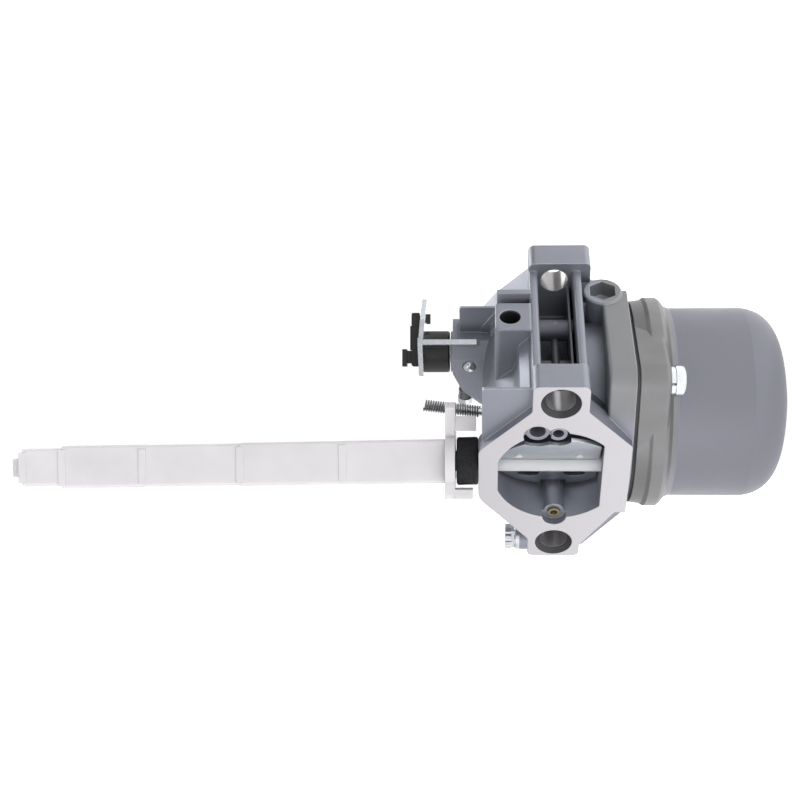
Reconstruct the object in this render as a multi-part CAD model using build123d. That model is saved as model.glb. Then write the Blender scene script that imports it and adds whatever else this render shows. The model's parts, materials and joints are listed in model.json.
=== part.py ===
from build123d import *
import os
from math import cos, sin, radians

# A float-bowl carburetor for a small engine, in mm.
# Origin: centre of the throat on the air-intake face. +X: side of the upper bolt lug,
# +Y: along the throat towards the engine, +Z: up (shafts on top, float bowl below).

# Flanges
BOLT_X = 24.0
BOLT_R = 3.3
LUG_X = 29.2
LUG_HALF = 6.35
LUG_DEPTH = 7.6
PAD_DEPTH = 2.2
REAR_Y0 = 42.8
REAR_Y1 = 50.0

# Throat
CHAMBER_R = 14.75
CHAMBER_TOP = 13.9
CHAMBER_FLOOR = -10.4
CHAMBER_END = 12.0
VENTURI_R = 9.6
THROTTLE_BORE_R = 11.25
TUBE_R = 17.4

# Choke
CHOKE_Y = 5.0
CHOKE_ANGLE = -22.0
CHOKE_SHAFT_R = 2.4
CHOKE_PLATE_R = 14.2
CHOKE_PLATE_TOP = 13.4
CHOKE_PLATE_FLOOR = -9.9
CHOKE_LEVER_Z = 23.9
CHOKE_LEVER_T = 2.35
CAM_R = 14.0
LEVER_TURN = 45.0
ROD_LEAN = 1.06
# Handle shaft sections: start and end above the lever, and width
ROD_SEGMENTS = [(-0.3, 24.3, 10.2), (24.3, 48.8, 10.1), (48.8, 72.3, 9.8),
                (72.3, 91.8, 10.0), (91.8, 101.4, 8.9), (101.4, 104.4, 4.4)]

# Detent spring beside the choke lever
SPRING_FOOT = (1.0, 20.4, 17.9)
SPRING_LEAN = 6.6

# Throttle
THROTTLE_Y = 43.2
THROTTLE_ANGLE = -10.0
THROTTLE_SHAFT_R = 2.75
THROTTLE_PLATE_R = 11.0
THROTTLE_BOSS_R = 5.2
THROTTLE_BOSS_TOP = 25.5
HUB_R = 5.3
LEVER_Z = 32.4
LEVER_T = 1.2
ARM_DROOP = 5.0

# Float chamber
BOWL_Y = 25.0
COVER_TOP = -11.0
COVER_FACE = -17.2
BOWL_TOP = -18.0
BOWL_IN_R = 21.4
BOWL_END = -55.1
SCREW_R = 26.6
SCREW_ANGLES = (-35.0, 145.0)
LUG_R = 5.0
STEM_R = 5.5
STEM_END = -44.0
HINGE_Y = 40.5
HINGE_Z = -21.5
NEEDLE_Y = 34.5
FLOAT_DROP = 7.0
NEEDLE_DROP = (HINGE_Y - NEEDLE_Y) * radians(FLOAT_DROP)

# Small fittings of the throttle tower
BALL_X = 1.2
BALL_Z = 20.8
IDLE_X = -7.0
IDLE_Y = 39.6
IDLE_Z = 21.9

# Nut boss: a round boss with a six-sided pocket
HEX_X = 25.2
HEX_Y = 37.4
HEX_Z = -11.3
HEX_TURN = 30.0
HEX_BOSS_R = 4.65
HEX_DEPTH = 4.2

# Running clearance of turning shafts, on the radius
RUN = 0.05


def polar(radius, angle):
    """A point at this radius and angle about the bowl's axis, as x, y."""
    return radius * cos(radians(angle)), BOWL_Y + radius * sin(radians(angle))


def profile_xz(points, y0, y1, radius=0.0):
    """A plate with this outline in X and Z, between two depths along the throat."""
    outline = FilletPolyline(*points, radius=radius, close=True)
    face = Plane.XZ.offset(-y1) * make_face(outline)
    return extrude(face, y1 - y0)


def profile_xy(points, z0, z1, radius=0.0):
    """A plate with this outline in X and Y, between two heights."""
    outline = FilletPolyline(*points, radius=radius, close=True)
    return extrude(Pos(0, 0, z0) * make_face(outline), z1 - z0)


def block(x0, x1, y0, y1, z0, z1):
    """A box given by its faces."""
    return Pos(x0, y0, z0) * Box(x1 - x0, y1 - y0, z1 - z0, align=Align.MIN)


def post(x, y, z0, z1, radius):
    """An upright cylinder."""
    return Pos(x, y, z0) * Cylinder(radius, z1 - z0, align=(Align.CENTER, Align.CENTER, Align.MIN))


def ring(outer, inner, z0, z1, x=0.0, y=0.0):
    """A flat washer or sleeve."""
    return post(x, y, z0, z1, outer) - post(x, y, z0 - 1, z1 + 1, inner)


def along_y(x, y0, y1, z, radius, end_radius=None):
    """A cylinder or cone running along the throat."""
    place = Pos(x, y0, z) * Rot(-90, 0, 0)
    base = (Align.CENTER, Align.CENTER, Align.MIN)
    if end_radius is None:
        return place * Cylinder(radius, y1 - y0, align=base)
    return place * Cone(radius, end_radius, y1 - y0, align=base)


def along_x(x0, x1, y, z, radius, end_radius=None):
    """A cylinder or cone running across, towards +X."""
    place = Pos(x0, y, z) * Rot(0, 90, 0)
    base = (Align.CENTER, Align.CENTER, Align.MIN)
    if end_radius is None:
        return place * Cylinder(radius, x1 - x0, align=base)
    return place * Cone(radius, end_radius, x1 - x0, align=base)


def along_z_bar(x, y, z0, z1, radius):
    """An upright bar with a ball end on top."""
    return post(x, y, z0, z1, radius) + Pos(x, y, z1) * Sphere(radius)


def chamber_outline(radius, lug_radius, z0, z1, extra=None):
    """A slab with the float chamber's outline: its circle and screw lugs inside one taut line."""
    circles = [(0, BOWL_Y, radius)]
    circles += [(*polar(SCREW_R, angle), lug_radius) for angle in SCREW_ANGLES]
    if extra:
        circles.append(extra)
    edges = [Pos(x, y) * Edge.make_circle(r) for x, y, r in circles]
    return extrude(Pos(0, 0, z0) * make_hull(edges), z1 - z0)


def rear_prism():
    """Space in front of and under the engine flange's sloping side."""
    return profile_xz([(6, 0), (6, 19), (9.1, 17.4), (14.3, 14.0), (29.0, 14.0), (29.0, 0)], 30, 45)


# Body casting

PAD_OUTLINE = [
    (LUG_X, LUG_HALF), (21.3, LUG_HALF), (8.5, 18.4), (-7.6, 18.4), (-22.8, LUG_HALF),
    (-LUG_X, LUG_HALF), (-LUG_X, -LUG_HALF), (-25.0, -LUG_HALF), (-12.6, -14.2),
    (-12.6, -16.8), (10.1, -16.8), (21.3, -LUG_HALF), (LUG_X, -LUG_HALF),
]
PAD_CORNERS = [1.6, 1.2, 3.0, 6.0, 1.2, 1.6, 1.6, 1.2, 0.4, 0.4, 0.8, 1.2, 1.6]


def front_flange():
    """The air-intake flange: machined pad, as-cast ears behind it and two bolt lugs."""
    pad = profile_xz(PAD_OUTLINE, 0, 5.0, PAD_CORNERS)
    upper_ear = profile_xz([(5, 0), (26.6, 0), (26.6, 17.6), (5, 17.6)], PAD_DEPTH, 5.0, 1.0)
    upper_ear -= Pos(26.6, 5.6, 0) * Rot(0, 0, 45) * Box(4.0, 8.0, 50)
    lower_ear = profile_xz([(-8, -16.6), (-8, 0), (-27.4, 0), (-27.4, -7.2), (-14.5, -16.6)],
                           PAD_DEPTH, 5.0, 0.8)
    lugs = [
        profile_xz([(side * LUG_X, LUG_HALF), (side * 14, LUG_HALF),
                    (side * 14, -LUG_HALF), (side * LUG_X, -LUG_HALF)],
                   0, LUG_DEPTH, [1.6, 0, 0, 1.6])
        for side in (1, -1)
    ]
    return pad + upper_ear + lower_ear + lugs


def rear_flange():
    """The engine flange with its two bolt lugs."""
    outline = [
        (LUG_X, 6.3), (22.0, 6.1), (14.3, 13.9), (9.1, 17.4), (5.0, 18.4), (-7.6, 18.4),
        (-22.8, 6.4), (-LUG_X, 6.4), (-LUG_X, -6.4), (-22.0, -6.4), (-12.0, -16.4),
        (10.0, -16.4), (19.4, -8.7), (LUG_X, -8.7),
    ]
    corners = [1.6, 1.0, 1.0, 0.8, 0.8, 4.0, 1.0, 1.6, 1.6, 1.0, 1.0, 1.0, 1.0, 1.4]
    return profile_xz(outline, REAR_Y0, REAR_Y1, corners)


def rails():
    """Two ribs on each side that join the lugs of the two flanges."""
    y0, y1 = LUG_DEPTH - 1, REAR_Y0 + 1
    parts = []
    for side in (1, -1):
        for z0, z1 in ((4.2, 6.35), (-6.3, -4.3)):
            x0, x1 = sorted((side * 13, side * 27))
            rail = block(x0, x1, y0, y1, z0, z1)
            crest = rail.edges().filter_by(Axis.Y).sort_by(lambda e: side * e.center().X)[-2:]
            parts.append(fillet(crest, 0.75))
    return parts


def venturi_tube():
    """The tube between the flanges, flattened underneath, with the ribs on its side."""
    tube = along_y(0, 4, REAR_Y1 - 2, 0, TUBE_R) & block(-20, 20, 0, REAR_Y1, -14.0, TUBE_R)
    web = profile_xz([(9.0, 13.0), (13.1, 10.5), (17.0, 9.3), (21.9, 9.0), (24.2, 6.8),
                      (24.2, 5.0), (9.0, 5.0)], 4, 24, [0, 1.5, 2.0, 1.0, 0.5, 0, 0])
    tube -= block(12.2, 20, 22.5, REAR_Y0, -4.3, 4.2)
    tube -= block(16.2, 20, LUG_DEPTH, 23, -4.3, 4.2)
    cross_boss = post(18.0, 31.2, -5.0, 5.2, 2.6)
    floor_rib = along_y(16.6, LUG_DEPTH - 1, 31, 0.1, 0.95)
    thin_rib = block(13.0, 22.0, LUG_DEPTH - 1, REAR_Y0 + 1, -3.6, -3.1)
    return tube + web + cross_boss + floor_rib + thin_rib


def port_block():
    """The block on the side of the tube with a plain port in it."""
    body = block(8.5, 27.0, 21.6, 31.2, 6.0, 14.5)
    body = fillet(body.edges().filter_by(Axis.X).group_by(Axis.Z)[-1], 1.2)
    body = fillet(body.faces().sort_by(Axis.X)[-1].edges().filter_by(Axis.Y), 0.5)
    bridge = block(8.0, 24.6, 31, REAR_Y0 + 1, 6.0, 13.6)
    bead = along_z_bar(28.0, 33.6, 6.0, 14.0, 0.7) + block(8.0, 28.0, 32.9, 34.3, 6.0, 14.0)
    slope = profile_xz([(6, 0), (6, 19), (9.1, 17.4), (14.3, 13.9), (22.0, 6.1), (22.0, 0)], 30, 45)
    return body + (bridge & slope) + (bead & rear_prism())


def throttle_tower():
    """The tower the throttle shaft stands in, its front corner cut back, and the stop block."""
    outline = [(7.0, 8), (7.0, 25.0), (-2.5, 25.0), (-8.6, 22.6), (-13.0, 18.2), (-13.5, 8)]
    tower = profile_xz(outline, 36.2, REAR_Y1 - 2)
    corner = tower.edges().filter_by(Axis.Z).group_by(Axis.X)[-1].group_by(Axis.Y)[0]
    tower = chamfer(corner, 3.4)
    front = tower.faces().filter_by(Axis.Y).sort_by(Axis.Y)[0]
    slope = front.edges().filter_by(lambda e: 0.3 < abs((e % 0.5).Z) < 0.95)
    tower = chamfer(slope, 1.3)
    boss = post(0, THROTTLE_Y, 8, THROTTLE_BOSS_TOP, THROTTLE_BOSS_R)
    stop = profile_xz([(5.1, 12), (5.1, 23.2), (15.2, 23.2), (15.2, 12)], 43.0, 47.6, [0, 0.8, 0.8, 0])
    stop -= Pos(15.2, 48.0, 18) * Rot(0, 0, 45) * Box(6.4, 12, 20)
    gusset = profile_xz([(6, 10), (6, 15.4), (9.5, 15.4), (20, 8.0), (20, 4)], 40.0, REAR_Y0 + 1, 0)
    lower_boss = post(0, THROTTLE_Y, -17.0, -8, 4.8)
    return tower + boss + stop + gusset + lower_boss


def hex_boss():
    """The round boss beside the engine lug that holds a nut, and the web beside it."""
    outer = Circle(HEX_BOSS_R)
    place = Plane(origin=(HEX_X, HEX_Y, HEX_Z), x_dir=(0, 0, 1), z_dir=(-1, 0, 0))
    body = extrude(place * outer, 10.2)
    body = chamfer(body.faces().sort_by(Axis.X)[-1].edges(), 0.35)
    neck = block(13.0, 23.2, 35.0, REAR_Y0 + 1, HEX_Z, -5.0)
    return body + neck


def hex_pocket():
    """The six-sided nut pocket, its flats facing up and down."""
    hexagon = RegularPolygon(3.0, 6, major_radius=False, rotation=HEX_TURN)
    place = Plane(origin=(HEX_X + 2, HEX_Y, HEX_Z), x_dir=(0, 0, 1), z_dir=(-1, 0, 0))
    return extrude(place * hexagon, HEX_DEPTH + 2)


def side_boss():
    """The outrigger on the far side that carries a small vertical screw."""
    arm = block(-34.0, -18.0, 7.9, 11.3, 1.0, 7.2)
    return post(-33.4, 9.6, -2.0, 8.1, 3.3) + arm


def cover():
    """The lid of the float chamber: a round drum over a flange drawn out to its screw lugs."""
    disc = post(0, BOWL_Y, COVER_TOP - 0.5, -5.5, 20.0)
    flange = chamber_outline(24.2, LUG_R - 0.2, COVER_FACE, COVER_TOP, (22.0, 37.5, 2.4))
    flange = fillet(flange.edges().group_by(Axis.Z)[-1], 0.7)
    lid = disc + flange
    hollow = post(0, BOWL_Y, COVER_FACE - 1, -14.8, 20.4)
    hollow -= post(0, BOWL_Y, -20, -14, STEM_R + 1.5)
    hollow -= post(0, NEEDLE_Y, -20, -14, 4.4)
    hollow -= block(-8.6, 8.6, HINGE_Y - 2.0, HINGE_Y + 2.0, -20, -14)
    return lid - hollow


def chamber_fittings():
    """The stem that holds the jets, the seat boss and the posts for the float hinge."""
    stem = post(0, BOWL_Y, STEM_END, -8, STEM_R)
    stem += Pos(0, BOWL_Y, -17) * Cone(STEM_R, STEM_R + 1.5, 5.0)
    seat_boss = post(0, NEEDLE_Y, -18.4, -12, 4.4)
    posts = [block(x - 1.4, x + 1.4, HINGE_Y - 2.0, HINGE_Y + 2.0, HINGE_Z - 2.0, -13)
             for x in (-7.2, 7.2)]
    inlet = along_x(-26.5, -16, 32.0, -13.9, 3.2)
    return stem + seat_boss + posts + inlet


def throat_cut():
    """The air passage: a flat-sided chamber, the venturi and the throttle bore."""
    chamber = along_y(0, -1, CHAMBER_END, 0, CHAMBER_R)
    cone = along_y(0, CHAMBER_END, 24, 0, CHAMBER_R, VENTURI_R)
    inlet = (chamber + cone) & block(-20, 20, -2, 25, CHAMBER_FLOOR, CHAMBER_TOP)
    waist = along_y(0, 24, 27, 0, VENTURI_R)
    outlet = along_y(0, 27, 34, 0, VENTURI_R, THROTTLE_BORE_R)
    bore = along_y(0, 34, REAR_Y1 + 1, 0, THROTTLE_BORE_R)
    return inlet + waist + outlet + bore


def wall_ridges():
    """The half-round ridges in the throat that the air passages run through."""
    return [
        along_y(-14.4, 2.0, 22, 0.2, 2.35),
        along_y(13.6, 1.6, 22, 4.9, 2.75),
        along_y(13.6, 0.9, 22, 0.2, 2.1),
    ]


def passage_cuts():
    """Recesses in the pad in front of the ridges and the passages drilled into them."""
    return [
        along_y(-14.4, -1, 2.0, 0.2, 2.85),
        along_y(13.6, -1, 1.6, 4.9, 3.3),
        along_y(13.6, -1, 0.9, 0.2, 2.7),
        along_y(-14.4, 1.0, 6.0, 0.2, 1.5),
        along_y(13.6, 1.0, 12, 4.9, 1.9),
        along_y(13.6, 0.5, 10, 0.2, 1.3),
    ]


def bolt_cuts():
    """Clearance holes for the two flange bolts, countersunk at the intake face."""
    cuts = []
    for x in (BOLT_X, -BOLT_X):
        cuts.append(along_y(x, -1, REAR_Y1 + 1, 0, BOLT_R))
        cuts.append(along_y(x, -0.01, 1.3, 0, BOLT_R + 1.25, BOLT_R))
    return cuts


def carburetor_body():
    """The whole casting with its machined holes."""
    body = front_flange() + rear_flange() + venturi_tube() + rails()
    body += port_block() + throttle_tower() + hex_boss() + side_boss() + cover()
    body += chamber_fittings()
    body -= throat_cut()
    body += [ridge & along_y(0, 0, 22, 0, TUBE_R - 1) for ridge in wall_ridges()]
    body -= passage_cuts()
    body -= bolt_cuts()
    body -= hex_pocket()
    # Shaft bores
    body -= post(0, CHOKE_Y, -13.4, 20, CHOKE_SHAFT_R + RUN)
    body -= post(0, THROTTLE_Y, -14.8, 30, THROTTLE_SHAFT_R + RUN)
    # Side port, ball seat and the idle screw hole
    body -= along_x(18, 28, 26.0, 11.0, 2.5)
    body -= along_y(BALL_X, 35.0, 38.8, BALL_Z, 1.75)
    body -= along_x(-16, IDLE_X - 2.4, IDLE_Y, IDLE_Z, 2.1)
    body -= along_x(-16, IDLE_X + 1.6, IDLE_Y, IDLE_Z, 1.0)
    body -= detent_post()
    # Fuel way from the hose spigot to the needle seat
    body -= along_x(-28, -14, 32.0, -13.9, 1.9)
    body -= post(0, NEEDLE_Y, -19, -13.0, 2.6)
    # Nozzle and jet bores in the stem
    body -= post(0, BOWL_Y, -46, -5, 2.2)
    body -= post(0, BOWL_Y, -46, -40, 2.8)
    body -= along_x(-9, 9, HINGE_Y, HINGE_Z, 0.8)
    # Screw holes
    body -= post(-33.4, 9.6, -1.0, 9.0, 1.75)
    for angle in SCREW_ANGLES:
        x, y = polar(SCREW_R, angle)
        body -= post(x, y, -18, -12.2, 1.75)
    return body


# Fixed fittings in the body

def air_bleed_jet():
    """Brass jet pressed into the end of the ridge on the throat floor."""
    jet = along_y(-14.4, 1.3, 6.0, 0.2, 1.5)
    jet -= along_y(-14.4, 1.2, 2.4, 0.2, 0.9, 0.45)
    return jet - along_y(-14.4, 2.0, 6.5, 0.2, 0.45)


def idle_passage_ball():
    """Steel ball that closes a drilled passage in the throttle tower."""
    return Pos(BALL_X, 36.8, BALL_Z) * Sphere(1.75)


def idle_mixture_screw():
    """Slotted mixture screw on the sloping side of the tower, lying across the throat."""
    shank = along_x(IDLE_X - 5.2, IDLE_X + 1.4, IDLE_Y, IDLE_Z, 1.0)
    head = along_x(IDLE_X - 7.2, IDLE_X - 5.2, IDLE_Y, IDLE_Z, 1.9)
    return shank + head - block(IDLE_X - 8, IDLE_X - 6.4, IDLE_Y - 0.3, IDLE_Y + 0.3, 19, 25)


def idle_screw_spring():
    """Spring under the head of the mixture screw, as closed rings."""
    rings = [Pos(IDLE_X - 4.9 + 0.7 * i, IDLE_Y, IDLE_Z) * Rot(0, 90, 0) * Torus(1.45, 0.28)
             for i in range(4)]
    return Part() + rings


def side_screw():
    """Six-sided screw on the outrigger."""
    x, y = -33.4, 9.6
    head = extrude(Pos(x, y, 9.0) * Rot(0, 0, 45) * RegularPolygon(2.6, 6, major_radius=False), 1.2)
    head += Pos(x, y, 9.0) * Cone(2.9, 2.3, 0.7, align=(Align.CENTER, Align.CENTER, Align.MIN))
    brim = post(x, y, 10.1, 11.6, 3.1)
    brim -= [Pos(x, y, 10) * Rot(0, 0, turn) * Pos(3.5, 0, 0) * Cylinder(0.7, 6)
             for turn in range(0, 360, 30)]
    cross = Box(3.0, 0.7, 1.6) + Box(0.7, 3.0, 1.6)
    return head + brim + post(x, y, -1.0, 9.0, 1.75) - Pos(x, y, 11.6) * cross


def side_screw_washer():
    """Split lock washer under the outrigger's screw."""
    washer = ring(3.3, 1.8, 8.1, 9.0, -33.4, 9.6)
    gap = Pos(-33.4, 9.6, 8.55) * Rot(0, 0, 40) * Pos(2.5, 0, 0) * Box(3, 0.5, 2)
    return washer - gap


def fuel_inlet_spigot():
    """Steel hose spigot pressed into the side of the chamber lid."""
    outline = [(0, 0), (1.9, 0), (1.9, 6.5), (3.9, 6.5), (3.9, 7.5), (3.0, 7.5), (3.0, 19.6),
               (2.4, 20.4), (0, 20.4)]
    face = Plane.XZ * make_face(Polyline(*outline, close=True))
    spigot = revolve(face, Axis.Z) - Cylinder(1.2, 60)
    return Pos(-20.0, 32.0, -13.9) * Rot(0, -90, 0) * spigot


def needle_seat():
    """Brass seat of the inlet needle."""
    seat = ring(2.6, 1.0, -16.0, -13.0, 0, NEEDLE_Y)
    return seat + ring(2.6, 1.75, -18.4, -16.0, 0, NEEDLE_Y)


def main_nozzle():
    """Brass nozzle standing from the stem into the venturi."""
    tube = ring(2.2, 1.2, -38.0, -5.4, 0, BOWL_Y)
    for z in (-34, -31, -28, -25):
        tube -= Pos(0, BOWL_Y, z) * Rot(90, 0, 0) * Cylinder(0.5, 6)
    return tube


def main_jet():
    """Slotted brass jet screwed into the foot of the stem."""
    jet = ring(2.8, 0.6, STEM_END, -40.0, 0, BOWL_Y) + ring(3.6, 0.6, STEM_END - 1.0, STEM_END, 0, BOWL_Y)
    return jet - block(-4, 4, BOWL_Y - 0.4, BOWL_Y + 0.4, STEM_END - 2, STEM_END - 0.4)


# Float chamber

def float_bowl():
    """Cast bowl: a thick upper band, thin wall, rounded corner and domed bottom, with screw lugs."""
    outer = Polyline((0, BOWL_TOP), (24.6, BOWL_TOP), (25.0, -20.8), (25.55, -21.6), (25.55, -24.4),
                     (25.0, -25.2), (23.6, -26.2), (22.95, -27.6), (22.95, -45.0))
    corner = Spline((22.95, -45.0), (21.7, -49.1), (17.4, -52.8), (10.5, -54.6), (0, BOWL_END),
                    tangents=[(-0.1, -1), (-1, 0)])
    shell = make_face([*outer.edges(), corner, Line((0, BOWL_END), (0, BOWL_TOP))])
    bowl = Pos(0, BOWL_Y, 0) * revolve(Plane.XZ * shell, Axis.Z)
    brim = chamber_outline(24.4, LUG_R, -25.0, BOWL_TOP)
    bowl += fillet(brim.edges().group_by(Axis.Z)[0], 1.2)
    wall = Polyline((0, BOWL_TOP + 1), (BOWL_IN_R, BOWL_TOP + 1), (BOWL_IN_R, -44.6))
    inner_corner = Spline((BOWL_IN_R, -44.6), (20.2, -48.3), (16.4, -51.4), (10.0, -53.0), (0, -53.5),
                          tangents=[(-0.1, -1), (-1, 0)])
    core = make_face([*wall.edges(), inner_corner, Line((0, -53.5), (0, BOWL_TOP + 1))])
    bowl -= Pos(0, BOWL_Y, 0) * revolve(Plane.XZ * core, Axis.Z)
    for angle in SCREW_ANGLES:
        x, y = polar(SCREW_R, angle)
        bowl -= post(x, y, -26, -17, 2.0)
        bowl -= post(x, y, -27, -25.0, 3.7)
    return bowl


def bowl_gasket():
    """Flat gasket between lid and bowl, with ears round the screws."""
    gasket = chamber_outline(23.9, LUG_R - 0.5, BOWL_TOP, COVER_FACE)
    for angle in SCREW_ANGLES:
        x, y = polar(SCREW_R, angle)
        gasket -= post(x, y, BOWL_TOP - 1, COVER_FACE + 1, 2.0)
    return gasket - post(0, BOWL_Y, BOWL_TOP - 1, COVER_FACE + 1, BOWL_IN_R)


def bowl_screws():
    """Pan-head screws that hold the bowl, heads downwards."""
    screws = Part()
    for angle in SCREW_ANGLES:
        x, y = polar(SCREW_R, angle)
        head = post(x, y, -28.5, -26.1, 3.5)
        head = fillet(head.edges().group_by(Axis.Z)[0], 1.0)
        cross = Box(3.6, 0.8, 2.4) + Box(0.8, 3.6, 2.4)
        screws += head + post(x, y, -26.1, -12.4, 1.75) - Pos(x, y, -28.5) * cross
    return screws


def bowl_lock_washers():
    """Split lock washers under the bowl screws."""
    washers = Part()
    for angle in SCREW_ANGLES:
        x, y = polar(SCREW_R, angle)
        gap = Pos(x, y, -25.5) * Rot(0, 0, angle - 25) * Pos(2.5, 0, 0) * Box(3, 0.6, 3)
        washers += ring(3.25, 1.8, -26.1, -25.0, x, y) - gap
    return washers


def bowl_float():
    """Ring float with the arm that lifts the needle, hanging as in an empty bowl."""
    body = ring(17.2, 9.6, -41.0, -27.5, 0, BOWL_Y)
    body = fillet(body.edges().filter_by(GeomType.CIRCLE), 1.2)
    arm = block(-4.6, 4.6, 33.0, HINGE_Y, -28.0, -25.2)
    knuckle = along_x(-4.6, 4.6, HINGE_Y, HINGE_Z, 2.0)
    neck = block(-4.6, 4.6, HINGE_Y - 1.6, HINGE_Y + 1.6, -28.0, HINGE_Z)
    whole = body + arm + knuckle + neck - along_x(-6, 6, HINGE_Y, HINGE_Z, 0.8 + RUN)
    hinge = Pos(0, HINGE_Y, HINGE_Z)
    return hinge * Rot(FLOAT_DROP, 0, 0) * hinge.inverse() * whole


def float_hinge_pin():
    """Steel pin of the float."""
    return along_x(-8.6, 8.6, HINGE_Y, HINGE_Z, 0.8)


def inlet_needle():
    """Brass inlet needle, its foot on the float arm."""
    shank = post(0, NEEDLE_Y, -24.0, -17.4, 1.5)
    foot = Pos(0, NEEDLE_Y, -25.1) * Cone(0.5, 1.5, 1.1, align=(Align.CENTER, Align.CENTER, Align.MIN))
    return Pos(0, 0, -NEEDLE_DROP) * (shank + foot)


def needle_tip():
    """Rubber cone that closes the seat."""
    place = Pos(0, NEEDLE_Y, -17.4 - NEEDLE_DROP)
    return place * Cone(1.45, 0.55, 1.9, align=(Align.CENTER, Align.CENTER, Align.MIN))


# Choke

def choke_frame():
    """Frame of the choke plate in its rest position: local x across the plate, z its normal."""
    return Pos(0, CHOKE_Y, 0) * Rot(0, 0, CHOKE_ANGLE)


def choke_plate():
    """Choke disc with flat ends, slots for the passage ridges and two air holes."""
    plate = along_y(0, -0.45, 0.45, 0, CHOKE_PLATE_R)
    plate &= block(-15, 15, -1, 1, CHOKE_PLATE_FLOOR, CHOKE_PLATE_TOP)
    plate -= along_y(14.0, -2, 2, 4.9, 3.5)
    plate -= along_y(14.0, -2, 2, 0.2, 2.9)
    plate -= block(-15, -11.4, -2, 2, -2.9, 3.3)
    plate -= along_y(-6.3, -2, 2, 6.4, 2.7)
    plate -= along_y(-6.3, -2, 2, -4.6, 2.6)
    plate -= [along_y(4.9, -2, 2, z, 0.8) for z in (9.0, -5.2)]
    return choke_frame() * plate


def choke_shaft():
    """White shaft, flattened behind across the throat, with the tongue the plate is staked to."""
    shaft = post(0, 0, -13.2, CHOKE_LEVER_Z, CHOKE_SHAFT_R)
    shaft -= block(-3, 3, 1.3, 3, CHOKE_PLATE_FLOOR, CHOKE_PLATE_TOP)
    shaft += block(0, 7.0, 0.45, 1.15, CHOKE_PLATE_FLOOR + 0.5, CHOKE_PLATE_TOP - 0.5)
    shaft -= block(-3, 8, -0.45, 0.45, CHOKE_PLATE_FLOOR, CHOKE_PLATE_TOP)
    shaft += [along_y(4.9, -0.85, 0.5, z, 0.8) for z in (9.0, -5.2)]
    return choke_frame() * shaft


def choke_lever():
    """White cam plate on the choke shaft with two stop legs reaching down beside the seal."""
    sector = [(0, 0)]
    for angle in range(-25, 111, 15):
        sector.append((CAM_R * cos(radians(angle)), CAM_R * sin(radians(angle))))
    cam = profile_xy(sector, 0, CHOKE_LEVER_T)
    cam &= post(0, 0, -1, 5, CAM_R)
    hub = post(0, 0, 0, CHOKE_LEVER_T, 6.4)
    tail = block(-8.8, 0, -4.0, 4.0, 0, CHOKE_LEVER_T)
    tail = fillet(tail.edges().filter_by(Axis.Z).group_by(Axis.X)[0], 1.2)
    lever = cam + hub + tail
    lever += block(7.2, 10.6, -4.0, 4.0, -4.9, 0)
    lever += block(-8.8, -6.6, -4.0, 4.0, -4.2, 0)
    for angle in (-8, 22, 52, 82):
        lever -= Pos(CAM_R * cos(radians(angle)), CAM_R * sin(radians(angle)), 0) * Cylinder(0.9, 8)
    return Pos(0, CHOKE_Y, CHOKE_LEVER_Z) * Rot(0, 0, LEVER_TURN) * lever


def rod_segment(z0, z1, width):
    """One length of the handle shaft: a plain face, two shallow pockets behind."""
    half = width / 2
    middle = (z0 + z1) / 2
    bar = block(-half, half, -3.4, 3.4, z0, z1)
    bar = fillet(bar.edges().filter_by(Axis.Z), 0.7)
    for low, high in ((z0 + 1.2, middle - 0.6), (middle + 0.6, z1 - 1.2)):
        bar -= block(-half + 1.7, half - 1.7, 1.2, 4.0, low, high)
    return bar


def choke_rod():
    """Long handle shaft, stepped in width, a faint raised band across its face at each step."""
    rod = Part()
    for z0, z1, width in ROD_SEGMENTS[:-1]:
        rod += rod_segment(z0, z1, width)
        rod += block(-width / 2 + 0.8, width / 2 - 0.8, -3.55, 0, z1 - 0.9, z1 + 0.9)
    z0, z1, width = ROD_SEGMENTS[-1]
    tip = block(-width / 2, width / 2, -2.0, 2.0, z0, z1)
    rod += fillet(tip.edges().group_by(Axis.Z)[-1], 0.8)
    lever_top = CHOKE_LEVER_Z + CHOKE_LEVER_T
    rod = Pos(0, CHOKE_Y, lever_top) * Rot(0, 0, LEVER_TURN) * Rot(0, -ROD_LEAN, 0) * rod
    return rod - block(-20, 20, -20, 30, lever_top - 5, lever_top)


def choke_seal():
    """Black foam seal round the choke shaft, squeezed between lever and casting."""
    return ring(5.75, CHOKE_SHAFT_R + 0.3, 18.4, 23.6, 0, CHOKE_Y)


def detent_frame():
    """Foot of the detent spring, leaning away from the choke lever."""
    return Pos(*SPRING_FOOT) * Rot(0, 0, LEVER_TURN) * Rot(0, SPRING_LEAN, 0)


def detent_spring():
    """Close-wound spring finger that rubs on the choke lever's rim."""
    path = Helix(0.6, 13.6, 1.25)
    start = Plane(origin=path @ 0, z_dir=path % 0)
    coil = sweep(start * Circle(0.2), path, is_frenet=True)
    return detent_frame() * Pos(0, 0, 0.3) * coil


def detent_post():
    """Steel pin that the detent spring stands on."""
    return detent_frame() * post(0, 0, -2.6, 6.0, 0.9)


# Throttle

def throttle_frame():
    """Frame of the throttle plate in its rest position."""
    return Pos(0, THROTTLE_Y, 0) * Rot(0, 0, THROTTLE_ANGLE)


def throttle_plate_screws():
    """Two small screws that hold the throttle plate."""
    screws = Part()
    for z in (4.6, -4.6):
        screws += along_y(0, -2.6, 2.2, z, 1.1) + along_y(0, -3.6, -2.6, z, 2.1)
        screws -= block(-2.5, 2.5, -4, -3.2, z - 0.25, z + 0.25)
    return throttle_frame() * screws


def throttle_plate():
    """Throttle disc seated in the slot of its shaft."""
    plate = along_y(0, -0.4, 0.4, 0, THROTTLE_PLATE_R)
    return throttle_frame() * (plate - [along_y(0, -1, 1, z, 1.1) for z in (4.6, -4.6)])


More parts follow.
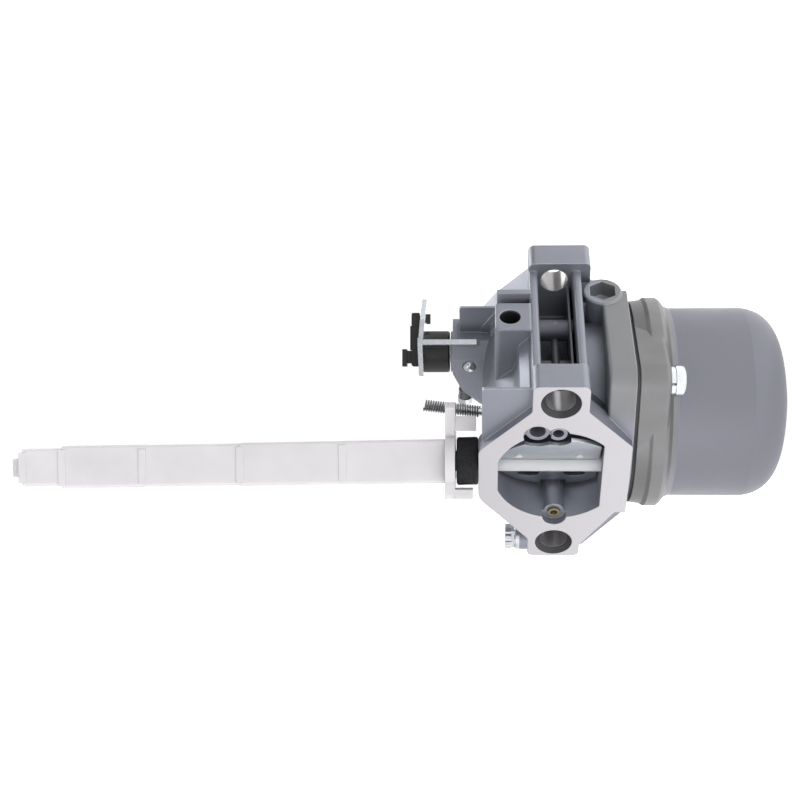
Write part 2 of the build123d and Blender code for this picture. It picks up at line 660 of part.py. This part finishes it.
def throttle_shaft():
    """Steel shaft from the lever down through the throttle bore, flattened where the plate sits."""
    shaft = post(0, 0, -14.6, LEVER_Z + LEVER_T, THROTTLE_SHAFT_R)
    shaft -= block(-4, 4, -4, -2.6, -9.5, 9.5)
    shaft -= block(-4, 4, -0.4, 0.4, -THROTTLE_PLATE_R, THROTTLE_PLATE_R)
    shaft -= [along_y(0, -4, 4, z, 1.1) for z in (4.6, -4.6)]
    shaft += post(0, 0, LEVER_Z + LEVER_T, LEVER_Z + LEVER_T + 0.8, 1.9)
    return throttle_frame() * shaft


def throttle_hub():
    """Black sleeve on the shaft between the casting and the lever."""
    sleeve = ring(HUB_R, THROTTLE_SHAFT_R, 25.8, LEVER_Z)
    foot = sleeve.edges().filter_by(GeomType.CIRCLE).group_by(Axis.Z)[0].sort_by(Edge.length)[-1:]
    sleeve = fillet(foot, 0.5)
    return Pos(0, THROTTLE_Y, 0) * sleeve


def throttle_lever():
    """Plated lever with a tab bent down towards the stop block."""
    plate = profile_xy([(-6.2, -4.4), (1.3, -12.2), (3.0, -12.2), (3.0, 4.2), (-6.2, 4.4)],
                       LEVER_Z, LEVER_Z + LEVER_T, [2.0, 0, 0, 0, 2.0])
    arm = profile_xy([(-0.1, -8.0), (5.2, -8.0), (10.2, -3.4), (10.2, 3.0), (-0.1, 4.2)],
                     0, LEVER_T, [0, 2.0, 2.4, 2.4, 0])
    lever = plate + Pos(3.0, 0, LEVER_Z) * Rot(0, ARM_DROOP, 0) * arm
    tab = block(1.3, 2.6, -12.2, -8.4, 18.1, LEVER_Z + LEVER_T)
    tab = chamfer(tab.edges().filter_by(Axis.X).group_by(Axis.Z)[0], 0.8)
    lever += tab
    lever -= post(0, 0, 30, 35, THROTTLE_SHAFT_R)
    lever -= post(0, 0, 30, LEVER_Z, HUB_R)
    lever -= block(7.6, 9.2, -1.6, 1.6, 30, 35)
    return Pos(0, THROTTLE_Y, 0) * Rot(0, 0, LEVER_TURN) * lever


def throttle_link_clip():
    """Black clip for the governor link, snapped through the lever."""
    top = LEVER_Z + LEVER_T
    bar = block(-3.8, 9.9, -2.4, 2.4, top, top + 2.0)
    bar = fillet(bar.edges().filter_by(Axis.Y).group_by(Axis.Z)[-1], 0.5)
    bar -= post(0, 0, top - 1, top + 1.1, 2.2)
    ridge = block(0.4, 6.6, -1.2, 1.2, top + 2.0, top + 2.4)
    foot = block(-3.0, 0.2, -1.6, 1.6, top + 2.0, top + 3.2)
    foot += block(-3.8, 0.6, -2.0, 2.0, top + 3.2, top + 4.4)
    neck = block(7.6, 9.2, -1.6, 1.6, LEVER_Z - 1.4, top + 0.5)
    catch = block(7.2, 9.6, -1.6, 1.6, LEVER_Z - 1.6, LEVER_Z - 0.55)
    clip = bar + ridge + foot + neck + catch
    return Pos(0, THROTTLE_Y, 0) * Rot(0, 0, LEVER_TURN) * clip


PARTS = {
    "carburetor_body": carburetor_body,
    "air_bleed_jet": air_bleed_jet,
    "idle_passage_ball": idle_passage_ball,
    "idle_mixture_screw": idle_mixture_screw,
    "idle_screw_spring": idle_screw_spring,
    "side_screw": side_screw,
    "side_screw_washer": side_screw_washer,
    "fuel_inlet_spigot": fuel_inlet_spigot,
    "needle_seat": needle_seat,
    "main_nozzle": main_nozzle,
    "main_jet": main_jet,
    "float_bowl": float_bowl,
    "bowl_gasket": bowl_gasket,
    "bowl_screws": bowl_screws,
    "bowl_lock_washers": bowl_lock_washers,
    "float": bowl_float,
    "float_hinge_pin": float_hinge_pin,
    "inlet_needle": inlet_needle,
    "needle_tip": needle_tip,
    "choke_plate": choke_plate,
    "choke_shaft": choke_shaft,
    "choke_lever": choke_lever,
    "choke_rod": choke_rod,
    "choke_seal": choke_seal,
    "detent_spring": detent_spring,
    "detent_post": detent_post,
    "throttle_plate": throttle_plate,
    "throttle_plate_screws": throttle_plate_screws,
    "throttle_shaft": throttle_shaft,
    "throttle_hub": throttle_hub,
    "throttle_lever": throttle_lever,
    "throttle_link_clip": throttle_link_clip,
}

os.makedirs("parts", exist_ok=True)
for name, make in PARTS.items():
    part = make()
    print(name, round(part.volume, 1), len(part.solids()))
    export_step(part, f"parts/{name}.step")
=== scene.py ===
"""Small-engine carburettor: materials, foam collar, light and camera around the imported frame."""
import json
import math

import bmesh
import bpy
from mathutils import Matrix, Vector, noise


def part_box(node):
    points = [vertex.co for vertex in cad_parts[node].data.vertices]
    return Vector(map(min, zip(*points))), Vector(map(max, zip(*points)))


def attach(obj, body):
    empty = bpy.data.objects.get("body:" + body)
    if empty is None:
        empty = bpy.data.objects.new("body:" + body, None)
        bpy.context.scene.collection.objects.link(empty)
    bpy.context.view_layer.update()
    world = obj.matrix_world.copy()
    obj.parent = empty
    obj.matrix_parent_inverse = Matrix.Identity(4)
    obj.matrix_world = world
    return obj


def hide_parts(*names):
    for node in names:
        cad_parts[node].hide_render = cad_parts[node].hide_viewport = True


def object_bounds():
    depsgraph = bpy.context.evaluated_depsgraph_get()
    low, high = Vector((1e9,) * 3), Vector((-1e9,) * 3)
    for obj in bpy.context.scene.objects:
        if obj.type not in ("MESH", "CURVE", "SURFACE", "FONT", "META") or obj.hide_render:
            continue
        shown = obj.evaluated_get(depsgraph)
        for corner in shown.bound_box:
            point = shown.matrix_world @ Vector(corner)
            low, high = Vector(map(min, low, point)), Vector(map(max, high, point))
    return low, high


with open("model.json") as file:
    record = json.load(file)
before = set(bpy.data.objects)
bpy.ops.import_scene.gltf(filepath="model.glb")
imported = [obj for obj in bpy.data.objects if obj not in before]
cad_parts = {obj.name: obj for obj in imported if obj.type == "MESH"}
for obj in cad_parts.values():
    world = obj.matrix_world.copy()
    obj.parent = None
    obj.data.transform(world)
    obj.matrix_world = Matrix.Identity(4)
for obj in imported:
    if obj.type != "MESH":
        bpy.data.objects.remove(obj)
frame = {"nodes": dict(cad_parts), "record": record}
CAD_LOW, CAD_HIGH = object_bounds()
NODES = frame["nodes"]

MM = 0.001

# Places on the casting where its finish changes, or where shade or light is painted on it
FRONT_Y = 0.0  # the machined intake face
REAR_Y = 50 * MM  # the machined engine face
BOLT_X = 24 * MM  # the long mounting bolts' holes, either side of the throat
BOLT_R = 3.45 * MM
SINK_R = 4.75 * MM  # the bolt holes' countersinks
SINK_DEPTH = 1.28 * MM
CHANNEL_X = 22.5 * MM  # the channel between the ribs has painted shade up to this far from the throat's axis
CHANNEL_Y = (8.2 * MM, 42.3 * MM)
CHANNEL_Z = 4.2 * MM
THROAT_R = 15.1 * MM
VENTURI_Y = 22.5 * MM  # behind this the throat is narrower
VENTURI_R = 11.6 * MM
PORT_X = (16.5 * MM, 26.55 * MM)  # inner and outer end of the side port
PORT_Y = 26 * MM
PORT_Z = 11 * MM
PORT_R = 2.55 * MM
LID_TOP = -11 * MM  # the lid over the float chamber is a warmer grey
LID_FRONT = 3.5 * MM
NUT_X = 21 * MM  # the nut pocket's floor
NUT_Y = 37.4 * MM
NUT_Z = -11.3 * MM
NUT_R = 3.6 * MM
CAST_EDGE = 0.45 * MM  # how far the painted highlight along an edge reaches
CAST_ROUNDING = 0.3 * MM
GRAIN_DEPTH = 0.04 * MM

BAND_FLOOR = -27 * MM  # lower edge of the bowl's thick band

FOAM_BORE = 2.45 * MM
FOAM_ROWS = 26
FOAM_TURNS = 96

CAMERA_PLACE = (239 * MM, -215.1 * MM, 17.87 * MM)
CAMERA_HEADING = math.radians(-45.2155)  # from the part to the camera, seen from above
CAMERA_TILT = math.radians(-3.4082)
FLOOR_HALF = 6.0  # metres


# ---------------------------------------------------------------- material building


class Paint:
    """A material under construction: each method adds a node and returns its output."""

    def __init__(self, name):
        self.material = bpy.data.materials.new(name)
        self.material.use_nodes = True
        self.tree = self.material.node_tree
        self.tree.nodes.clear()
        self.shader = self.node("ShaderNodeBsdfPrincipled")
        out = self.node("ShaderNodeOutputMaterial")
        self.tree.links.new(self.shader.outputs["BSDF"], out.inputs["Surface"])
        coords = self.node("ShaderNodeTexCoord")
        self.place = coords.outputs["Object"]
        self.normal = coords.outputs["Normal"]

    def node(self, kind, **settings):
        made = self.tree.nodes.new(kind)
        for key, value in settings.items():
            setattr(made, key, value)
        return made

    def put(self, socket, value):
        if isinstance(value, bpy.types.NodeSocket):
            self.tree.links.new(value, socket)
        else:
            socket.default_value = value

    def math(self, operation, a, b=0.0, clamp=False):
        made = self.node("ShaderNodeMath", operation=operation, use_clamp=clamp)
        self.put(made.inputs[0], a)
        self.put(made.inputs[1], b)
        return made.outputs[0]

    def axes(self, vector):
        made = self.node("ShaderNodeSeparateXYZ")
        self.put(made.inputs[0], vector)
        return made.outputs

    def distance(self, a, middle_a, b, middle_b):
        """How far two coordinates are from an axis."""
        off_a = self.math("SUBTRACT", a, middle_a)
        off_b = self.math("SUBTRACT", b, middle_b)
        squares = self.math(
            "ADD", self.math("MULTIPLY", off_a, off_a), self.math("MULTIPLY", off_b, off_b))
        return self.math("SQRT", squares)

    def every(self, *masks):
        """1 only where every mask is 1."""
        overlap = masks[0]
        for mask in masks[1:]:
            overlap = self.math("MULTIPLY", overlap, mask)
        return overlap

    def above(self, value, level, fade=0.05 * MM):
        """1 where the value is over the level, with a ramp as wide as twice the fade."""
        return self.span(value, level - fade, level + fade)

    def below(self, value, level, fade=0.05 * MM):
        """1 where the value is under the level, with a ramp as wide as twice the fade."""
        return self.span(value, level - fade, level + fade, 1, 0)

    def stretched(self, scale):
        made = self.node("ShaderNodeMapping")
        self.put(made.inputs["Vector"], self.place)
        made.inputs["Scale"].default_value = scale
        return made.outputs[0]

    def noise(self, scale, detail, vector=None):
        made = self.node("ShaderNodeTexNoise")
        self.put(made.inputs["Vector"], self.place if vector is None else vector)
        made.inputs["Scale"].default_value = scale
        made.inputs["Detail"].default_value = detail
        made.inputs["Roughness"].default_value = 0.55
        return made.outputs["Fac"]

    def cells(self, scale):
        made = self.node("ShaderNodeTexVoronoi")
        self.put(made.inputs["Vector"], self.place)
        made.inputs["Scale"].default_value = scale
        return made.outputs["Distance"]

    def span(self, value, low, high, to_low=0.0, to_high=1.0):
        """The range low to high mapped onto to_low to to_high, flat beyond it."""
        made = self.node("ShaderNodeMapRange", clamp=True)
        self.put(made.inputs["Value"], value)
        made.inputs["From Min"].default_value = low
        made.inputs["From Max"].default_value = high
        made.inputs["To Min"].default_value = to_low
        made.inputs["To Max"].default_value = to_high
        return made.outputs[0]

    def blend(self, share, a, b):
        made = self.node("ShaderNodeMix", data_type="RGBA")
        self.put(made.inputs["Factor"], share)
        for socket, value in ((made.inputs["A"], a), (made.inputs["B"], b)):
            self.put(socket, value if isinstance(value, bpy.types.NodeSocket) else (*value, 1.0))
        return made.outputs["Result"]

    def blend_value(self, share, a, b):
        made = self.node("ShaderNodeMix", data_type="FLOAT")
        self.put(made.inputs["Factor"], share)
        self.put(made.inputs["A"], a)
        self.put(made.inputs["B"], b)
        return made.outputs["Result"]

    def edges(self, radius):
        """1 along sharp edges and 0 on open faces."""
        soft = self.node("ShaderNodeBevel", samples=4)
        soft.inputs["Radius"].default_value = radius
        flat = self.node("ShaderNodeNewGeometry").outputs["Normal"]
        cosine = self.node("ShaderNodeVectorMath", operation="DOT_PRODUCT")
        self.put(cosine.inputs[0], soft.outputs[0])
        self.put(cosine.inputs[1], flat)
        return self.span(self.math("SUBTRACT", 1.0, cosine.outputs["Value"]), 0.03, 0.35)

    def open_sky(self, reach):
        """1 on open faces, towards 0 in crevices narrower than reach."""
        made = self.node("ShaderNodeAmbientOcclusion", samples=8)
        made.inputs["Distance"].default_value = reach
        return made.outputs["AO"]

    def relief(self, height, depth, strength, radius=None):
        """Bump of that depth in metres, over edges rounded to the radius."""
        made = self.node("ShaderNodeBump")
        made.inputs["Strength"].default_value = strength
        made.inputs["Distance"].default_value = depth
        self.put(made.inputs["Height"], height)
        if radius:
            soft = self.node("ShaderNodeBevel", samples=4)
            soft.inputs["Radius"].default_value = radius
            self.put(made.inputs["Normal"], soft.outputs[0])
        self.put(self.shader.inputs["Normal"], made.outputs[0])

    def set(self, **sockets):
        for name, value in sockets.items():
            socket = self.shader.inputs[name.replace("_", " ")]
            if isinstance(value, tuple) and len(value) == 3 and socket.type == "RGBA":
                value = (*value, 1.0)
            self.put(socket, value)
        return self.material


def blasted_skin(paint):
    """Cloudy mottle, fine grain and uneven gloss of a shot-blasted casting."""
    mottle = paint.noise(90, 4)
    grain = paint.noise(2600, 2)
    gloss = paint.math(
        "ADD", paint.span(mottle, 0.3, 0.7, 0.40, 0.52), paint.span(grain, 0, 1, -0.05, 0.05))
    return mottle, grain, gloss


def machined_masks(paint):
    """Where the casting's milled end faces, its reamed bolt holes and their countersinks are."""
    x, y, z = paint.axes(paint.place)
    flat = paint.span(paint.math("ABSOLUTE", paint.axes(paint.normal)[1]), 0.97, 0.99)
    round_wall = paint.math("SUBTRACT", 1.0, flat)
    ends = paint.math(
        "ADD", paint.below(y, FRONT_Y + 0.15 * MM), paint.above(y, REAR_Y - 0.15 * MM), clamp=True)
    reach = paint.distance(paint.math("ABSOLUTE", x), BOLT_X, z, 0.0)
    reamed = paint.every(paint.below(reach, BOLT_R - 0.05 * MM), round_wall, paint.above(y, SINK_DEPTH))
    sink = paint.every(paint.below(reach, SINK_R), round_wall, paint.below(y, SINK_DEPTH))
    return paint.every(flat, ends), reamed, sink


def channel_shade_mask(paint):
    """The floor of the channel between the ribs, outside the throat, where shade is painted."""
    x, y, z = paint.axes(paint.place)
    within = paint.below(paint.math("ABSOLUTE", z), CHANNEL_Z, 0.2 * MM)
    along = paint.every(
        paint.above(y, CHANNEL_Y[0], 0.4 * MM), paint.below(y, CHANNEL_Y[1], 0.3 * MM))
    sunk = paint.below(paint.math("ABSOLUTE", x), CHANNEL_X, 3 * MM)
    from_axis = paint.distance(x, 0.0, z, 0.0)
    behind_throat = paint.every(paint.above(y, VENTURI_Y), paint.above(from_axis, VENTURI_R))
    outside = paint.math("MAXIMUM", paint.above(from_axis, THROAT_R), behind_throat)
    return paint.every(within, along, sunk, outside)


def port_shade_mask(paint):
    """The bore of the side port."""
    x, y, z = paint.axes(paint.place)
    bore = paint.below(paint.distance(y, PORT_Y, z, PORT_Z), PORT_R)
    return paint.every(
        bore, paint.above(x, PORT_X[0], 0.5 * MM), paint.below(x, PORT_X[1], 0.35 * MM))


def nut_floor_light_mask(paint):
    """The flat floor of the nut pocket, where light is painted."""
    x, y, z = paint.axes(paint.place)
    across = paint.below(paint.distance(y, NUT_Y, z, NUT_Z), NUT_R)
    return paint.every(across, paint.above(x, NUT_X - 0.3 * MM), paint.below(x, NUT_X + 0.15 * MM))


def body_material():
    """The casting, with its milled end faces and reamed bolt holes brighter than the blasted skin."""
    paint = Paint("cast_body")
    x, y, z = paint.axes(paint.place)
    milled, reamed, sink = machined_masks(paint)
    lid = paint.every(paint.below(z, LID_TOP), paint.above(y, LID_FRONT, 0.5 * MM))

    mottle, grain, gloss = blasted_skin(paint)
    swirl = paint.noise(900, 2, vector=paint.stretched((1.0, 1.0, 6.0)))
    # painted highlight: the skin is lightened along sharp edges
    edge_highlight = paint.math("MULTIPLY", paint.edges(CAST_EDGE), 0.75)
    # painted shade: the skin darkens towards near black in crevices narrower than 3 mm
    crevice_shade = paint.span(paint.open_sky(3 * MM), 0.1, 0.45, 0.6, 0.0)
    # painted shade: the channel floor between the ribs is darkened towards near black
    painted_channel_shade = paint.math("MULTIPLY", channel_shade_mask(paint), 0.6)
    skin = paint.blend(mottle, (0.20, 0.21, 0.247), (0.30, 0.315, 0.357))
    skin = paint.blend(lid, skin, paint.blend(mottle, (0.18, 0.183, 0.19), (0.255, 0.258, 0.262)))
    skin = paint.blend(edge_highlight, skin, (0.64, 0.65, 0.69))
    skin = paint.blend(crevice_shade, skin, (0.03, 0.032, 0.04))
    skin = paint.blend(painted_channel_shade, skin, (0.02, 0.021, 0.026))
    # painted light: the nut pocket's floor is painted far lighter than the skin, lifting the shade it
    # sits in
    skin = paint.blend(nut_floor_light_mask(paint), skin, (0.55, 0.56, 0.58))
    # painted shade: the side port's bore and the bolt holes' countersinks are painted near black
    skin = paint.blend(paint.math("MAXIMUM", port_shade_mask(paint), sink), skin, (0.045, 0.045, 0.048))
    bright = paint.blend(swirl, (0.49, 0.477, 0.498), (0.565, 0.551, 0.574))
    hole = paint.blend(swirl, (0.28, 0.27, 0.28), (0.42, 0.41, 0.41))
    colour = paint.blend(reamed, paint.blend(milled, skin, bright), hole)

    rough = paint.blend_value(milled, gloss, paint.span(swirl, 0.3, 0.7, 0.42, 0.5))
    rough = paint.blend_value(reamed, rough, 0.25)
    smooth = paint.math("MAXIMUM", milled, reamed)
    height = paint.blend_value(smooth, grain, paint.math("MULTIPLY", swirl, 0.25))
    paint.relief(height, GRAIN_DEPTH, 0.5, CAST_ROUNDING)
    return paint.set(Base_Color=colour, Roughness=rough, Metallic=paint.blend_value(milled, 0.55, 0.8))


def bowl_material():
    """The bowl's casting, its thick upper band a warmer, paler grey than the wall."""
    paint = Paint("cast_bowl")
    mottle, grain, gloss = blasted_skin(paint)
    # painted highlight: the wall is lightened along sharp edges
    edge_highlight = paint.math("MULTIPLY", paint.edges(CAST_EDGE), 0.6)
    band = paint.above(paint.axes(paint.place)[2], BAND_FLOOR, 0.6 * MM)
    wall = paint.blend(mottle, (0.165, 0.169, 0.192), (0.21, 0.214, 0.243))
    wall = paint.blend(edge_highlight, wall, (0.62, 0.63, 0.67))
    warm = paint.blend(paint.noise(120, 3), (0.175, 0.175, 0.178), (0.235, 0.235, 0.237))
    paint.relief(grain, GRAIN_DEPTH, 0.5, CAST_ROUNDING)
    return paint.set(Base_Color=paint.blend(band, wall, warm), Roughness=gloss, Metallic=0.8)


def metal(name, dark, light, rough, streak=(1.0, 1.0, 1.0)):
    """Bare or plated metal with fine tool marks along one direction."""
    paint = Paint(name)
    marks = paint.noise(900, 3, vector=paint.stretched(streak))
    cloud = paint.noise(160, 3)
    colour = paint.blend(marks, dark, light)
    spread = paint.math("MULTIPLY", cloud, 0.12)
    paint.relief(marks, 0.01 * MM, 0.4, 0.12 * MM)
    return paint.set(Base_Color=colour, Roughness=paint.math("ADD", spread, rough - 0.05), Metallic=1.0)


def nylon():
    """Natural moulded nylon: milky, a little light passing through, with shade painted on inside the
    throat.
    """
    paint = Paint("white_nylon")
    cloud = paint.noise(70, 4)
    fine = paint.noise(1500, 2)
    colour = paint.blend(paint.span(cloud, 0.35, 0.65), (0.565, 0.55, 0.565), (0.61, 0.595, 0.612))
    # painted shade: the nylon is darker where it lies inside the throat
    throat_shade = paint.blend(cloud, (0.43, 0.44, 0.45), (0.49, 0.50, 0.51))
    colour = paint.blend(paint.below(paint.axes(paint.place)[2], THROAT_R), colour, throat_shade)
    paint.relief(fine, 0.015 * MM, 0.35, 0.25 * MM)
    return paint.set(
        Base_Color=colour, Roughness=paint.span(cloud, 0.3, 0.7, 0.38, 0.5), Subsurface_Weight=0.35,
        Subsurface_Radius=(2.2 * MM, 2.0 * MM, 2.1 * MM), Subsurface_Scale=1.0, IOR=1.53)


def polymer(name, dark, light, rough):
    """Black plastic, rubber or float material with a fine moulded grain."""
    paint = Paint(name)
    grain = paint.noise(1800, 3)
    cloud = paint.noise(150, 3)
    # painted highlight: a little lighter along sharp edges
    edge = paint.edges(0.25 * MM)
    flat = paint.blend(cloud, dark, light)
    colour = paint.blend(paint.math("MULTIPLY", edge, 0.25), flat, (0.10, 0.10, 0.105))
    paint.relief(grain, 0.02 * MM, 0.5, 0.2 * MM)
    gloss = paint.span(grain, 0.2, 0.8, rough - 0.06, rough + 0.06)
    return paint.set(Base_Color=colour, Roughness=gloss)


def foam():
    """Open-cell foam: soft pores, no gloss."""
    paint = Paint("black_foam")
    pores = paint.cells(2300)
    cloud = paint.noise(400, 3)
    walls = paint.blend(cloud, (0.012, 0.012, 0.013), (0.024, 0.024, 0.026))
    colour = paint.blend(paint.span(pores, 0.1, 0.5), (0.004, 0.004, 0.005), walls)
    paint.relief(pores, 0.12 * MM, 0.8)
    return paint.set(Base_Color=colour, Roughness=0.95, Sheen_Weight=0.05, Specular_IOR_Level=0.2)


def floor_material():
    """White paper that glows a little, so that it fades into the surroundings."""
    paint = Paint("studio_floor")
    cloud = paint.noise(6, 2)
    paint.relief(paint.noise(500, 2), 0.05 * MM, 0.2)
    return paint.set(
        Base_Color=paint.blend(cloud, (0.90, 0.90, 0.905), (0.93, 0.93, 0.935)), Roughness=0.8,
        Emission_Color=(1.0, 1.0, 1.0), Emission_Strength=0.85)


MATERIALS = {
    "cast_body": body_material(),
    "cast_bowl": bowl_material(),
    "bright_plate": metal(
        "bright_plate", (0.42, 0.45, 0.48), (0.55, 0.58, 0.62), 0.32, (1.0, 1.0, 0.15)),
    "bright_steel": metal(
        "bright_steel", (0.52, 0.53, 0.55), (0.68, 0.69, 0.71), 0.24, (1.0, 1.0, 0.3)),
    "spring_steel": metal("spring_steel", (0.16, 0.16, 0.165), (0.30, 0.30, 0.31), 0.34),
    "zinc_plate": metal("zinc_plate", (0.50, 0.53, 0.55), (0.70, 0.72, 0.74), 0.27),
    "brass": metal("brass", (0.17, 0.15, 0.095), (0.27, 0.24, 0.155), 0.36),
    "white_nylon": nylon(),
    "float_plastic": polymer("float_plastic", (0.03, 0.03, 0.033), (0.045, 0.045, 0.05), 0.6),
    "black_plastic": polymer("black_plastic", (0.006, 0.006, 0.007), (0.012, 0.012, 0.013), 0.45),
    "black_rubber": polymer("black_rubber", (0.012, 0.012, 0.012), (0.022, 0.022, 0.022), 0.62),
    "gasket_paper": polymer("gasket_paper", (0.045, 0.045, 0.047), (0.07, 0.07, 0.073), 0.75),
    "black_foam": foam(),
}


def dress_nodes():
    """Every CAD node gets the material of its record slot."""
    for part in frame["record"]["subparts"]:
        node = NODES[part["node"]]
        for holder in node.material_slots:
            holder.material = MATERIALS[part["material_slot"]]


# ---------------------------------------------------------------- foam collar


def foam_outline(inner, outer, half_height):
    """Radius and height around the collar's cross-section, a rectangle with well-rounded corners."""
    outline = []
    for i in range(FOAM_ROWS):
        around = 2 * math.pi * i / FOAM_ROWS
        side = math.copysign(abs(math.cos(around)) ** 0.35, math.cos(around))
        rise = math.copysign(abs(math.sin(around)) ** 0.35, math.sin(around))
        outline.append(((outer + inner) / 2 + side * (outer - inner) / 2, rise * half_height))
    return outline


def foam_spot(radius, height, angle, inner, outer, half_height):
    """One point of the collar's skin, crumbled on the outside and smooth against the shaft."""
    spot = Vector((radius * math.cos(angle), radius * math.sin(angle), height))
    crumbs = noise.noise(spot * 1400) * 0.12 * MM + noise.noise(spot * 500) * 0.15 * MM
    share = (radius - inner) / (outer - inner)
    waist = 0.015 * share * (1 + math.cos(math.pi * height / half_height))
    reach = radius
    if share > 0.5:
        reach = min(radius * (1 - waist) + crumbs * share, outer - 0.02 * MM)
    rim = min(abs(height) * 0.99 + crumbs * 0.5 * share, half_height - 0.01 * MM)
    return Vector((reach * math.cos(angle), reach * math.sin(angle), math.copysign(rim, height)))


def foam_seal():
    """The foam collar that the choke shaft turns in: a squeezed ring with a crumbly skin."""
    low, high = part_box("choke_seal")
    middle = (low + high) / 2
    outer = (high.x - low.x) / 2
    half_height = (high.z - low.z) / 2
    shape = bmesh.new()
    ring = []
    for j in range(FOAM_TURNS):
        angle = 2 * math.pi * j / FOAM_TURNS
        ring.append([
            shape.verts.new(middle + foam_spot(radius, height, angle, FOAM_BORE, outer, half_height))
            for radius, height in foam_outline(FOAM_BORE, outer, half_height)])
    for j in range(FOAM_TURNS):
        a, b = ring[j], ring[(j + 1) % FOAM_TURNS]
        for i in range(FOAM_ROWS):
            k = (i + 1) % FOAM_ROWS
            shape.faces.new((a[i], b[i], b[k], a[k]))
    bmesh.ops.recalc_face_normals(shape, faces=shape.faces)
    mesh = bpy.data.meshes.new("choke_foam_ring")
    shape.to_mesh(mesh)
    shape.free()
    mesh.shade_smooth()
    piece = bpy.data.objects.new("choke_foam_ring", mesh)
    bpy.context.scene.collection.objects.link(piece)
    piece.data.materials.append(MATERIALS["black_foam"])
    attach(piece, "casting")
    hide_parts("choke_seal")


# ---------------------------------------------------------------- studio


def floor():
    """A pale sweep under the bowl."""
    mesh = bpy.data.meshes.new("studio_floor")
    shape = bmesh.new()
    height = CAD_LOW.z - 0.2 * MM
    corners = [
        shape.verts.new((x * FLOOR_HALF, y * FLOOR_HALF, height))
        for x, y in ((-1, -1), (1, -1), (1, 1), (-1, 1))]
    shape.faces.new(corners)
    shape.to_mesh(mesh)
    shape.free()
    piece = bpy.data.objects.new("studio_floor", mesh)
    piece.data.materials.append(floor_material())
    bpy.context.scene.collection.objects.link(piece)


def lamp(name, place, size, power, tint):
    """A soft box at that place in metres, pointed at the middle of the throat."""
    data = bpy.data.lights.new(name, "AREA")
    data.shape = "RECTANGLE"
    data.size, data.size_y = size
    data.energy = power
    data.color = tint
    holder = bpy.data.objects.new(name, data)
    holder.location = place
    middle = Vector((0.0, (FRONT_Y + REAR_Y) / 2, 0.0))
    holder.rotation_euler = (middle - Vector(place)).to_track_quat("-Z", "Y").to_euler()
    bpy.context.scene.collection.objects.link(holder)


def surroundings():
    """A world that looks white but lights softly, brightest from above and a little from the left."""
    world = bpy.data.worlds.new("studio_world")
    world.use_nodes = True
    tree = world.node_tree
    sky = tree.nodes["Background"]
    sky.inputs["Color"].default_value = (1.0, 1.0, 1.0, 1.0)
    seen = tree.nodes.new("ShaderNodeLightPath").outputs["Is Camera Ray"]
    way = tree.nodes.new("ShaderNodeTexCoord").outputs["Generated"]
    lift = tree.nodes.new("ShaderNodeVectorMath")
    lift.operation = "DOT_PRODUCT"
    lift.inputs[1].default_value = (-0.45, -0.2, 0.84)
    dome = tree.nodes.new("ShaderNodeMapRange")
    for name, value in (("From Min", -0.6), ("From Max", 1.0), ("To Min", 0.25), ("To Max", 0.72)):
        dome.inputs[name].default_value = value
    level = tree.nodes.new("ShaderNodeMix")
    level.inputs["B"].default_value = 1.05
    tree.links.new(way, lift.inputs[0])
    tree.links.new(lift.outputs["Value"], dome.inputs["Value"])
    tree.links.new(seen, level.inputs["Factor"])
    tree.links.new(dome.outputs[0], level.inputs["A"])
    tree.links.new(level.outputs["Result"], sky.inputs["Strength"])
    bpy.context.scene.world = world


def studio():
    """White surroundings and three soft boxes: high behind, low in front, and a weak one aside."""
    surroundings()
    lamp("top_light", (-0.06, 0.7, 0.72), (0.7, 0.5), 4.8, (1.0, 1.0, 1.0))
    lamp("front_light", (0.05, -0.85, 0.4), (0.6, 0.6), 3.2, (1.0, 0.985, 1.0))
    lamp("side_light", (0.8, 0.15, 0.3), (0.3, 0.6), 0.35, (0.96, 0.98, 1.0))
    bpy.context.scene.view_settings.view_transform = "Standard"


def camera():
    """Level with the throat, off the intake side, rolled so that the choke stem points left."""
    level = math.cos(CAMERA_TILT)
    back = Vector((
        level * math.cos(CAMERA_HEADING), level * math.sin(CAMERA_HEADING), math.sin(CAMERA_TILT)))
    up = Vector((-math.sin(CAMERA_HEADING), math.cos(CAMERA_HEADING), 0.0))
    turn = Matrix((up.cross(back), up, back)).transposed().to_4x4()
    data = bpy.data.cameras.new("photo_camera")
    data.lens = 61.45
    data.sensor_width = 36.0
    data.clip_start = 0.01
    holder = bpy.data.objects.new("photo_camera", data)
    holder.matrix_world = Matrix.Translation(CAMERA_PLACE) @ turn
    bpy.context.scene.collection.objects.link(holder)
    bpy.context.scene.camera = holder


camera()
floor()
studio()
dress_nodes()
foam_seal()
